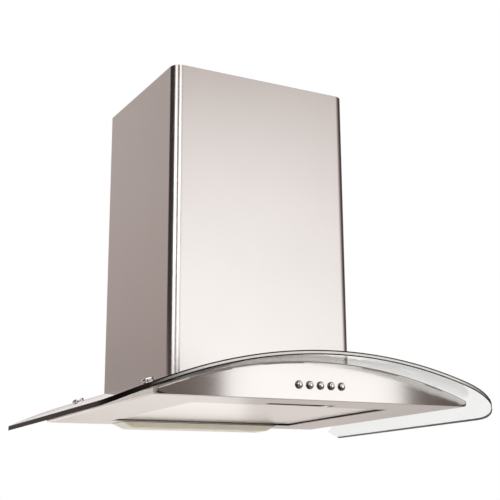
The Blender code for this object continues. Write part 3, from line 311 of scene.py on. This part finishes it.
def add_card(bm, edges, level, upright):
    """One rectangle: upright at that Y from (left, right, low, high), or flat at that Z from
    (left, right, far, near)."""
    left, right, start, end = edges
    made = bmesh.ops.create_grid(bm, x_segments=1, y_segments=1, size=0.5)["verts"]
    bmesh.ops.scale(bm, verts=made, vec=(right - left, end - start, 1))
    centre, middle = (left + right) / 2, (start + end) / 2
    if upright:
        bmesh.ops.rotate(bm, verts=made, matrix=Matrix.Rotation(pi / 2, 3, "X"))
        bmesh.ops.translate(bm, verts=made, vec=(centre, level, middle))
    else:
        bmesh.ops.translate(bm, verts=made, vec=(centre, middle, level))


def make_hidden_cards(name, cards, level, upright, tone, strength):
    """Cards that only polished things mirror: they are hidden from the camera and cast no shade."""
    bm = bmesh.new()
    for edges in cards:
        add_card(bm, edges, level, upright)
    finish = material(name + "_card", Base_Color=colour("000000"), Roughness=1.0,
                      Emission_Color=colour(tone), Emission_Strength=strength)[0]
    made = object_from(name, bm, [finish])
    made.visible_camera = False
    made.visible_diffuse = False
    made.visible_shadow = False
    made.visible_transmission = False


def make_cards():
    make_hidden_cards("flags", FLAGS, FLAG_Y, True, "6a5c55", 0.9)
    make_hidden_cards("reflector", [REFLECTOR], REFLECTOR_Y, True, "ffffff", 1.6)
    make_hidden_cards("cloth", [CLOTH], CLOTH_Z, False, "4a403b", 0.5)


# Materials

# A belt of 180 grit leaves lines about 0.15 mm apart; they are drawn 0.5 mm apart to show.
BELT_LINE = 0.5 * MM
BELT_STROKE = 50 * MM
BELT_RELIEF = 0.02 * MM
STEEL_DRIFT = 90 * MM
WIPE_MARK = 2.5 * MM
# The furnace's rollers leave a faint swell about every 40 mm.
ROLLER_SWELL = 40 * MM
SWELL_DEPTH = 0.2 * MM
GRIND_MARK = 3 * MM
# Along the front the canopy's rim is painted bright, as light, as far out as the first, and painted
# dark, as shade, from the second.
PAINTED_LIGHT_WITHIN = 190 * MM
PAINTED_SHADE_BEYOND = 262 * MM
# The spark texture of a mould, and the size of the patches in which a moulding's tone drifts.
SPARK_GRAIN = 0.8 * MM
SPARK_RELIEF = 0.05 * MM
MOULD_DRIFT = 40 * MM
SPANGLE = 9 * MM
CLEAR = "fefffe"
GLASS_IOR = 1.5


def brushed_metal(name, grain, tint="dad6d3", rough=0.2, spread=0.4):
    """Metal sheet ground with a belt: fine lines one way that draw highlights out across them,
    and a warm grey that drifts a little over a hand's width."""
    made, tree, shader = material(name, Metallic=1.0, Roughness=rough, Anisotropic=spread,
                                  Anisotropic_Rotation=0.25)
    place = add(tree, "ShaderNodeTexCoord")
    lie = add(tree, "ShaderNodeMapping",
              {"Vector": place.outputs["Object"],
               "Scale": [1 / (BELT_STROKE if axis == grain else BELT_LINE) for axis in "XYZ"]})
    lines = add(tree, "ShaderNodeTexNoise", {"Vector": lie.outputs[0], "Scale": 1.0,
                                             "Detail": 3.0, "Roughness": 0.6})
    cloud = add(tree, "ShaderNodeTexNoise", {"Vector": place.outputs["Object"],
                                             "Scale": 1 / STEEL_DRIFT, "Detail": 2.0})
    both = add(tree, "ShaderNodeMath", {0: lines.outputs["Fac"], 1: cloud.outputs["Fac"]},
               operation="ADD")
    half = add(tree, "ShaderNodeMath", {0: both.outputs[0], 1: 0.5}, operation="MULTIPLY")
    colours = add(tree, "ShaderNodeValToRGB", {0: half.outputs[0]})
    for stop, gain in zip(colours.color_ramp.elements, (0.95, 1.05)):
        stop.color = [min(c * gain, 1) for c in colour(tint)[:3]] + [1]
    tree.links.new(colours.outputs["Color"], shader.inputs["Base Color"])
    matt = add(tree, "ShaderNodeMapRange", {"Value": lines.outputs["Fac"], "From Min": 0.25,
                                            "From Max": 0.75, "To Min": rough - 0.03,
                                            "To Max": rough + 0.04})
    tree.links.new(matt.outputs[0], shader.inputs["Roughness"])
    relief = add(tree, "ShaderNodeBump", {"Height": lines.outputs["Fac"], "Strength": 0.04,
                                          "Distance": BELT_RELIEF})
    tree.links.new(relief.outputs[0], shader.inputs["Normal"])
    # The lines' own direction, tipped a little so that no face is square to it.
    tip = {axis: 1.0 if axis == grain else 0.013 for axis in "XYZ"}
    lead = add(tree, "ShaderNodeCombineXYZ", tip)
    tree.links.new(lead.outputs[0], shader.inputs["Tangent"])
    return made


def polished_chrome(name, tint):
    """Bright chrome over polished brass, or a dark tint of it that paints shade round each button:
    a clean mirror with faint wiping marks.
    """
    made, tree, shader = material(name, Metallic=1.0, Roughness=0.08, Base_Color=colour(tint))
    place = add(tree, "ShaderNodeTexCoord")
    wipe = add(tree, "ShaderNodeTexNoise", {"Vector": place.outputs["Object"],
                                            "Scale": 1 / WIPE_MARK, "Detail": 2.0})
    matt = add(tree, "ShaderNodeMapRange", {"Value": wipe.outputs["Fac"], "From Min": 0.35,
                                            "From Max": 0.7, "To Min": 0.05, "To Max": 0.16})
    tree.links.new(matt.outputs[0], shader.inputs["Roughness"])
    return made


def clear_glass():
    """Toughened float glass, bent in a furnace: clear, with a trace of green and little glare."""
    made, tree, shader = material("clear_float_glass", Base_Color=colour(CLEAR), Roughness=0.0,
                                  IOR=GLASS_IOR, Transmission_Weight=1.0,
                                  Specular_IOR_Level=0.2)
    place = add(tree, "ShaderNodeTexCoord")
    swell = add(tree, "ShaderNodeTexNoise", {"Vector": place.outputs["Object"],
                                             "Scale": 1 / ROLLER_SWELL, "Detail": 0.0})
    relief = add(tree, "ShaderNodeBump", {"Height": swell.outputs["Fac"], "Strength": 0.03,
                                          "Distance": SWELL_DEPTH})
    tree.links.new(relief.outputs[0], shader.inputs["Normal"])
    return made


def ground_glass_edge(name, painted_light_in_front=False):
    """The ground rim of the canopy: painted nearly black from outside, as shade for the light that
    is lost inside the sheet, and clear to someone who looks out through the glass. Along the front
    it can be painted bright, as light that comes through, and that painted light fades as the rim
    turns to the sides."""
    made, tree, shader = material(name, Roughness=0.3, IOR=GLASS_IOR, Specular_IOR_Level=0.15)
    place = add(tree, "ShaderNodeTexCoord")
    grind = add(tree, "ShaderNodeTexNoise", {"Vector": place.outputs["Object"],
                                             "Scale": 1 / GRIND_MARK, "Detail": 3.0})
    # Painted shade: near-black tones that stand in for the light lost inside the sheet.
    tone = add(tree, "ShaderNodeValToRGB", {0: grind.outputs["Fac"]})
    tone.color_ramp.elements[0].color = colour("0a0605")
    tone.color_ramp.elements[1].color = colour("1c1512")
    shown = tone.outputs["Color"]
    if painted_light_in_front:
        # Painted light: near-white along the front, fading into the painted shade towards the
        # sides.
        split = add(tree, "ShaderNodeSeparateXYZ", {0: place.outputs["Object"]})
        out = add(tree, "ShaderNodeMath", {0: split.outputs["X"]}, operation="ABSOLUTE")
        fade = add(tree, "ShaderNodeMapRange", {"Value": out.outputs[0],
                                                "From Min": PAINTED_LIGHT_WITHIN,
                                                "From Max": PAINTED_SHADE_BEYOND})
        mixed = add(tree, "ShaderNodeMix", {0: fade.outputs[0], 6: colour("f4f3f1"), 7: shown},
                    data_type="RGBA")
        shown = mixed.outputs[2]
    tree.links.new(shown, shader.inputs["Base Color"])
    clear = add(tree, "ShaderNodeBsdfPrincipled",
                {"Base Color": colour(CLEAR), "Roughness": 0.0, "IOR": GLASS_IOR,
                 "Transmission Weight": 1.0})
    side = add(tree, "ShaderNodeNewGeometry")
    both = add(tree, "ShaderNodeMixShader", {0: side.outputs["Backfacing"], 1: shader.outputs[0],
                                             2: clear.outputs[0]})
    tree.links.new(both.outputs[0], tree.nodes["Material Output"].inputs["Surface"])
    return made


def moulded(name, tint, rough, **more):
    """A moulded part with the fine spark texture of its tool, and a slight drift in its tone."""
    made, tree, shader = material(name, Roughness=rough, **more)
    place = add(tree, "ShaderNodeTexCoord")
    spark = add(tree, "ShaderNodeTexNoise", {"Vector": place.outputs["Object"],
                                             "Scale": 1 / SPARK_GRAIN, "Detail": 2.0})
    cloud = add(tree, "ShaderNodeTexNoise", {"Vector": place.outputs["Object"],
                                             "Scale": 1 / MOULD_DRIFT, "Detail": 2.0})
    tone = add(tree, "ShaderNodeValToRGB", {0: cloud.outputs["Fac"]})
    for stop, gain in zip(tone.color_ramp.elements, (0.88, 1.1)):
        stop.color = [min(c * gain, 1) for c in colour(tint)[:3]] + [1]
    tree.links.new(tone.outputs["Color"], shader.inputs["Base Color"])
    matt = add(tree, "ShaderNodeMapRange", {"Value": spark.outputs["Fac"], "From Min": 0.3,
                                            "From Max": 0.7, "To Min": rough - 0.06,
                                            "To Max": rough + 0.08})
    tree.links.new(matt.outputs[0], shader.inputs["Roughness"])
    relief = add(tree, "ShaderNodeBump", {"Height": spark.outputs["Fac"], "Strength": 0.3,
                                          "Distance": SPARK_RELIEF})
    tree.links.new(relief.outputs[0], shader.inputs["Normal"])
    return made


def galvanised_sheet():
    """Hot-dip zinc on sheet: flat grey flakes of spangle, each turned a little differently."""
    made, tree, shader = material("galvanised_sheet", Metallic=1.0, Roughness=0.42)
    place = add(tree, "ShaderNodeTexCoord")
    flakes = add(tree, "ShaderNodeTexVoronoi", {"Vector": place.outputs["Object"],
                                                "Scale": 1 / SPANGLE})
    grey = add(tree, "ShaderNodeRGBToBW", {0: flakes.outputs["Color"]})
    tone = add(tree, "ShaderNodeValToRGB", {0: grey.outputs[0]})
    tone.color_ramp.elements[0].color = colour("8f9396")
    tone.color_ramp.elements[1].color = colour("b9bcbe")
    tree.links.new(tone.outputs["Color"], shader.inputs["Base Color"])
    matt = add(tree, "ShaderNodeMapRange", {"Value": grey.outputs[0], "To Min": 0.34,
                                            "To Max": 0.52})
    tree.links.new(matt.outputs[0], shader.inputs["Roughness"])
    return made


def make_materials():
    return {
        # The chimney is brushed up and down, so it draws what it mirrors out sideways.
        "steel_upright": brushed_metal("brushed_stainless_upright", "Z"),
        # The tray and the fascia are brushed across; the fascia is ground finer and mirrors more.
        # The tray's darker, warmer tint is painted shade, for a sheet that looks down.
        "steel_tray_painted_shade": brushed_metal("brushed_stainless_tray_painted_shade", "X", "bfb5ae", 0.24),
        "steel_fascia": brushed_metal("brushed_stainless_fascia", "X", rough=0.15),
        # A darker tint that is painted shade: the dark reflections along the fascia's rolled edges
        # and the shade under the filter's recess roof.
        "steel_painted_shade": brushed_metal("stainless_edge_painted_shade", "X", "8b817a"),
        "chrome": polished_chrome("polished_chrome", "f2efec"),
        # Chrome tinted dark for the bezels: it mirrors as sharply as bright chrome, and the dark
        # ring it draws round each button is painted shade.
        "chrome_painted_dark_ring": polished_chrome("chrome_painted_dark_ring", "6e6863"),
        "glass": clear_glass(),
        "glass_edge_painted_shade": ground_glass_edge("ground_glass_edge"),
        "glass_painted_front_light": ground_glass_edge("ground_glass_painted_front_light", painted_light_in_front=True),
        "galvanised": galvanised_sheet(),
        # Anodising leaves a pale, even satin in which the brushing hardly shows.
        "aluminium": brushed_metal("anodised_aluminium", "X", "e2dcd7", 0.22, 0.2),
        # Light spreads a few millimetres inside acrylic, so the cover looks milky.
        "ivory": moulded("ivory_acrylic_cover", "f8ead8", 0.32, IOR=1.49,
                         Subsurface_Weight=0.2, Subsurface_Scale=0.01),
        "bulb": moulded("opal_bulb_glass", "efe6cf", 0.2, IOR=GLASS_IOR),
        "black": moulded("black_abs", "242425", 0.45),
        "grey": moulded("grey_abs", "77797b", 0.45),
        "white": moulded("white_abs", "e0ded9", 0.4),
        "rubber": moulded("black_nitrile_rubber", "1f1f1f", 0.65),
    }


# Pieces

BUTTONS = range(1, 6)
EASE = 0.3 * MM
FASCIA_EASE = 0.9 * MM
LAMP_EASE = 1.0 * MM
# The canopy's rim is every steep face this near its ends or its front, apart from those that look
# back at the wall. Its borders, painted dark as shade, are this wide.
RIM = 95 * MM
RIM_BORDER = 1.6 * MM
# A face is steep when its normal's Z is below the first, and looks back when its Y is above the
# second.
STEEP_Z = 0.7
BACK_Y = 0.5
# The fascia's rolled edges are its faces whose normal has a smaller Y than this; they are painted
# darker, as shade.
AHEAD_Y = 0.985
# The roof of the finger recess lies this near the filter's front, and this far above its underside,
# and is painted darker, as shade.
RECESS_REACH = 42 * MM
RECESS_RISE = 4 * MM

# The CAD nodes that are shown as they are, by their finish.
CARRIED = {
    "steel_upright": ("chimney_upper", "motor_shaft", "damper_pin"),
    "galvanised": ("chimney_bracket", "wall_bracket", "blower_box", "motor_spider",
                   "capacitor_strap", "lamp_housing")
    + tuple("box_screw_" + c for c in CORNERS),
    "aluminium": ("filter_mesh",),
    "bulb": tuple("bulb_" + s for s in SIDES),
    "black": ("fan_wheel", "terminal_box", "terminal_lid", "switch_block"),
    "grey": ("fan_motor", "volute_left", "volute_right", "cable_gland"),
    "white": ("outlet_collar", "damper_front", "damper_rear", "capacitor")
    + tuple("lamp_socket_" + s for s in SIDES),
    "rubber": tuple("seal_washer_" + c for c in CORNERS),
}


def dress_carried_nodes(finishes):
    for finish, nodes in CARRIED.items():
        for node in nodes:
            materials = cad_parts[node].data.materials
            for i in range(len(materials)):
                materials[i] = finishes[finish]


def make_canopy(finishes):
    """The glass, with its ground rim: painted dark as shade along both corners, and painted bright
    as light between them in front.
    """
    bm = joined("glass_canopy")
    low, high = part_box("glass_canopy")
    rim = []
    for face in bm.faces:
        middle = face.calc_center_median()
        outside = middle.x < low[0] + RIM or middle.x > high[0] - RIM or middle.y < low[1] + RIM
        if abs(face.normal.z) < STEEP_Z and face.normal.y < BACK_Y and outside:
            rim.append(face)
    border = bmesh.ops.inset_region(bm, faces=rim, thickness=RIM_BORDER, use_even_offset=True)
    for face in rim:
        face.material_index = 2
    for face in border["faces"]:
        face.material_index = 1
    piece("canopy_glass", bm, "hood",
          [finishes["glass"], finishes["glass_edge_painted_shade"], finishes["glass_painted_front_light"]],
          "glass_canopy")


def make_fascia(finishes):
    """The front pressing. Its rolled edges are painted darker than its face, as shade for the dark
    they mirror.
    """
    bm = eased("front_fascia", FASCIA_EASE)
    for face in bm.faces:
        if abs(face.normal.y) < AHEAD_Y:
            face.material_index = 1
    piece("fascia", bm, "hood", [finishes["steel_fascia"], finishes["steel_painted_shade"]],
          "front_fascia")


def make_filter_rim(finishes):
    """The filter's frame, with the roof of its finger recess painted darker, as shade in the
    recess.
    """
    bm = eased("filter_frame", EASE)
    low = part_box("filter_frame")[0]
    for face in bm.faces:
        middle = face.calc_center_median()
        if middle.y < low[1] + RECESS_REACH and middle.z > low[2] + RECESS_RISE:
            face.material_index = 1
    piece("filter_rim", bm, "filter", [finishes["aluminium"], finishes["steel_painted_shade"]],
          "filter_frame")


def make_pieces(finishes):
    def make_eased(node, name, body, finish, ease=EASE):
        piece(name, eased(node, ease), body, [finishes[finish]], node)

    dress_carried_nodes(finishes)
    make_canopy(finishes)
    make_eased("body_shell", "body_tray", "hood", "steel_tray_painted_shade")
    make_fascia(finishes)
    make_eased("chimney_lower", "chimney_cover", "hood", "steel_upright")
    make_filter_rim(finishes)
    make_eased("filter_latch", "filter_catch", "latch", "black")
    make_eased("lamp_cover", "lamp_diffuser", "hood", "ivory", LAMP_EASE)
    for corner in CORNERS:
        make_eased("glass_cap_" + corner, "cap_" + corner, "hood", "chrome")
    for i in BUTTONS:
        make_eased(f"button_bezel_{i}", f"bezel_{i}", "hood", "chrome_painted_dark_ring")
        make_eased(f"push_button_{i}", f"button_{i}_cap", f"button_{i}", "chrome")


make_camera()
make_light()
make_floor()
make_cards()
make_pieces(make_materials())
bpy.context.view_layer.update()
